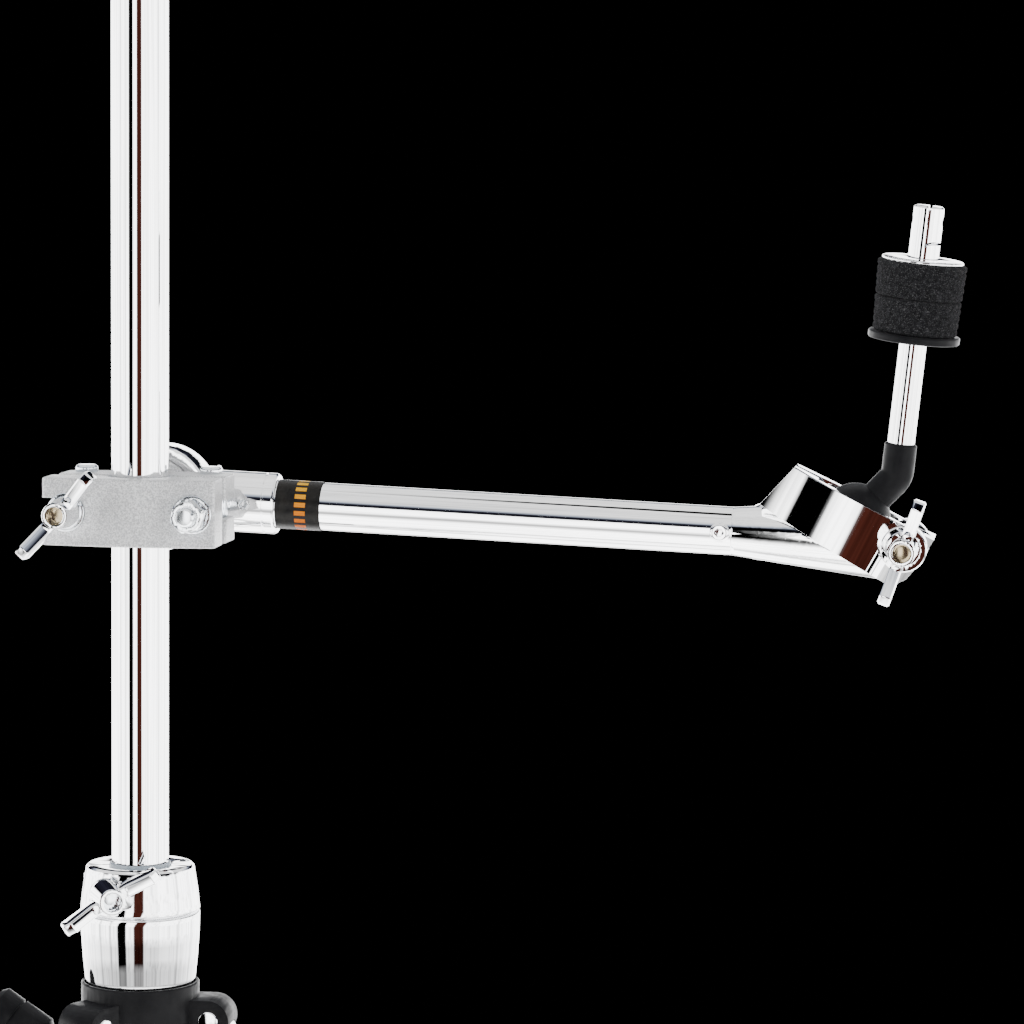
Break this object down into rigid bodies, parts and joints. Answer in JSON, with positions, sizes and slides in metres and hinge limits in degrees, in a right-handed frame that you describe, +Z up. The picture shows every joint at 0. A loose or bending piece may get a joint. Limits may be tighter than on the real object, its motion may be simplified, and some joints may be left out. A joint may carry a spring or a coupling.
{
  "type": "cymbal boom stand",
  "caption": "Chromed stand with a braced folding tripod, a sliding post and a cast clamp that carries a short boom with a ball tilter, cymbal rod, felts and toggle.",
  "frame": {"origin": "on the floor under the post's axis", "axes": "+Z up along the post, +X along the boom, +Y to the side of the boom joint"},
  "size_m": [0.5322, 0.5642, 1.094],
  "materials": {
    "chrome": "bright chrome plate",
    "zinc_steel": "zinc plate",
    "cast_aluminium": "blasted casting",
    "black_plastic": "moulded",
    "black_rubber": "matt",
    "grey_nylon": "smooth nylon",
    "printed_band": "printed film",
    "grey_felt": "layered wool felt"
  },
  "bodies": {
    "base": {"base_tube": "chrome", "base_plug": "black_rubber", "barrel_collar": "chrome", "barrel_body": "chrome", "barrel_bushing": "grey_nylon", "height_bolt": "zinc_steel", "height_washer": "zinc_steel", "leg_hub": "black_plastic", "hinge_pins": "chrome"},
    "height_wing": {"height_wing_nut": "chrome"},
    "hub_knob": {"hub_knob_stud": "chrome", "hub_knob_grip": "black_plastic"},
    "spread_collar": {"spread_collar": "black_plastic"},
    "spread_screw": {"spread_screw": "chrome"},
    "post": {"post": "chrome", "post_cap": "black_plastic"},
    "clamp_sleeve": {"clamp_liner": "grey_nylon"},
    "clamp": {"rear_jaw": "cast_aluminium", "eye_bolt_left": "zinc_steel", "eye_bolt_right": "zinc_steel", "clamp_pins": "zinc_steel", "boom_pivot_bolt": "zinc_steel", "boom_washer": "zinc_steel"},
    "front_jaw": {"front_jaw": "cast_aluminium", "clamp_washers": "zinc_steel", "clamp_nut": "zinc_steel"},
    "clamp_wing": {"clamp_wing_nut": "chrome"},
    "boom_wing": {"boom_wing_nut": "chrome"},
    "boom": {"boom_socket": "chrome", "socket_screw": "zinc_steel", "boom_tube": "chrome", "boom_band": "printed_band", "boom_screw": "chrome", "tilter_body": "chrome", "tilter_cap": "chrome", "tilter_bolt": "zinc_steel"},
    "tilter_wing": {"tilter_wing_nut": "chrome"},
    "cymbal_rod": {"ball_arm": "black_plastic", "cymbal_rod": "chrome", "cymbal_seat": "black_plastic", "top_post": "chrome", "toggle_pin": "chrome"},
    "felts": {"felt_lower": "grey_felt", "felt_upper": "grey_felt", "felt_washer": "chrome"},
    "toggle": {"toggle_latch": "chrome"},
    "leg_1": {"leg_1": "chrome", "leg_1_foot": "black_rubber", "leg_1_rivet": "chrome"},
    "brace_1": {"brace_1": "chrome"},
    "leg_2": {"leg_2": "chrome", "leg_2_foot": "black_rubber", "leg_2_rivet": "chrome"},
    "brace_2": {"brace_2": "chrome"},
    "leg_3": {"leg_3": "chrome", "leg_3_foot": "black_rubber", "leg_3_rivet": "chrome"},
    "brace_3": {"brace_3": "chrome"}
  },
  "joints": [
    {"name": "height_wing_turn", "type": "hinge", "parent": "base", "child": "height_wing", "pos_m": [-0.01749, -0.00742, 0.5649], "axis": [0.3907, -0.9205, 0], "continuous": true},
    {"name": "hub_knob_turn", "type": "hinge", "parent": "base", "child": "hub_knob", "pos_m": [-0.017, 0, 0.4724], "axis": [-0.8339, 0, 0.5519], "continuous": true},
    {"name": "leg_1_fold", "type": "hinge", "parent": "base", "child": "leg_1", "pos_m": [0.033, 0, 0.506], "axis": [0, 1, 0], "range_deg": [0, 25.5]},
    {"name": "brace_1_fold", "type": "hinge", "parent": "leg_1", "child": "brace_1", "pos_m": [0.12511, 0, 0.33982], "axis": [0, 1, 0], "range_deg": [-51, 0]},
    {"name": "leg_2_fold", "type": "hinge", "parent": "base", "child": "leg_2", "pos_m": [-0.0165, 0.02858, 0.506], "axis": [-0.866, -0.5, 0], "range_deg": [0, 25.5]},
    {"name": "brace_2_fold", "type": "hinge", "parent": "leg_2", "child": "brace_2", "pos_m": [-0.06256, 0.10835, 0.33982], "axis": [-0.866, -0.5, 0], "range_deg": [-51, 0]},
    {"name": "leg_3_fold", "type": "hinge", "parent": "base", "child": "leg_3", "pos_m": [-0.0165, -0.02858, 0.506], "axis": [0.866, -0.5, 0], "range_deg": [0, 25.5]},
    {"name": "brace_3_fold", "type": "hinge", "parent": "leg_3", "child": "brace_3", "pos_m": [-0.06256, -0.10835, 0.33982], "axis": [0.866, -0.5, 0], "range_deg": [-51, 0]},
    {"name": "spread_screw_turn", "type": "hinge", "parent": "spread_collar", "child": "spread_screw", "pos_m": [0, 0, 0.17364], "axis": [0.5, 0.866, 0], "continuous": true},
    {"name": "clamp_swivel", "type": "hinge", "parent": "clamp_sleeve", "child": "clamp", "pos_m": [0, 0, 0.7345], "axis": [0, 0, 1], "continuous": true},
    {"name": "clamp_wing_turn", "type": "hinge", "parent": "front_jaw", "child": "clamp_wing", "pos_m": [-0.0285, -0.03, 0.7345], "axis": [0, -1, 0], "continuous": true},
    {"name": "boom_tilt", "type": "hinge", "parent": "clamp", "child": "boom", "pos_m": [0, 0.0403, 0.7366], "axis": [0, -1, 0], "range_deg": [-60, 75]},
    {"name": "boom_wing_turn", "type": "hinge", "parent": "clamp", "child": "boom_wing", "pos_m": [0, 0.06, 0.7366], "axis": [0, 1, 0], "continuous": true},
    {"name": "tilter_wing_turn", "type": "hinge", "parent": "boom", "child": "tilter_wing", "pos_m": [0.33779, 0.0203, 0.72194], "axis": [0, -1, 0], "continuous": true},
    {"name": "rod_tilt", "type": "hinge", "parent": "boom", "child": "cymbal_rod", "pos_m": [0.31531, 0.0403, 0.73333], "axis": [0, -1, 0], "range_deg": [-22, 58]},
    {"name": "toggle_flip", "type": "hinge", "parent": "cymbal_rod", "child": "toggle", "pos_m": [0.34545, 0.03437, 0.86556], "axis": [0.9946, 0, -0.104], "range_deg": [0, 90]},
    {"name": "spread_slide", "type": "slide", "parent": "base", "child": "spread_collar", "axis": [0, 0, 1], "range_m": [-0.04704, 0]},
    {"name": "post_slide", "type": "slide", "parent": "base", "child": "post", "axis": [0, 0, 1], "range_m": [-0.05, 0.16]},
    {"name": "clamp_slide", "type": "slide", "parent": "post", "child": "clamp_sleeve", "axis": [0, 0, 1], "range_m": [-0.03, 0.2]},
    {"name": "jaw_open", "type": "slide", "parent": "clamp", "child": "front_jaw", "axis": [0, -1, 0], "range_m": [0, 0.004]},
    {"name": "felt_slide", "type": "slide", "parent": "cymbal_rod", "child": "felts", "axis": [0.1038, -0.052, 0.9932], "range_m": [0, 0.01]}
  ],
  "couplings": [
    {"joint": "brace_1_fold", "follows": "leg_1_fold", "ratio": -2},
    {"joint": "leg_2_fold", "follows": "leg_1_fold", "ratio": 1},
    {"joint": "brace_2_fold", "follows": "leg_1_fold", "ratio": -2},
    {"joint": "leg_3_fold", "follows": "leg_1_fold", "ratio": 1},
    {"joint": "brace_3_fold", "follows": "leg_1_fold", "ratio": -2},
    {"joint": "spread_slide", "follows": "leg_1_fold", "m_per_rad": -0.10546}
  ]
}
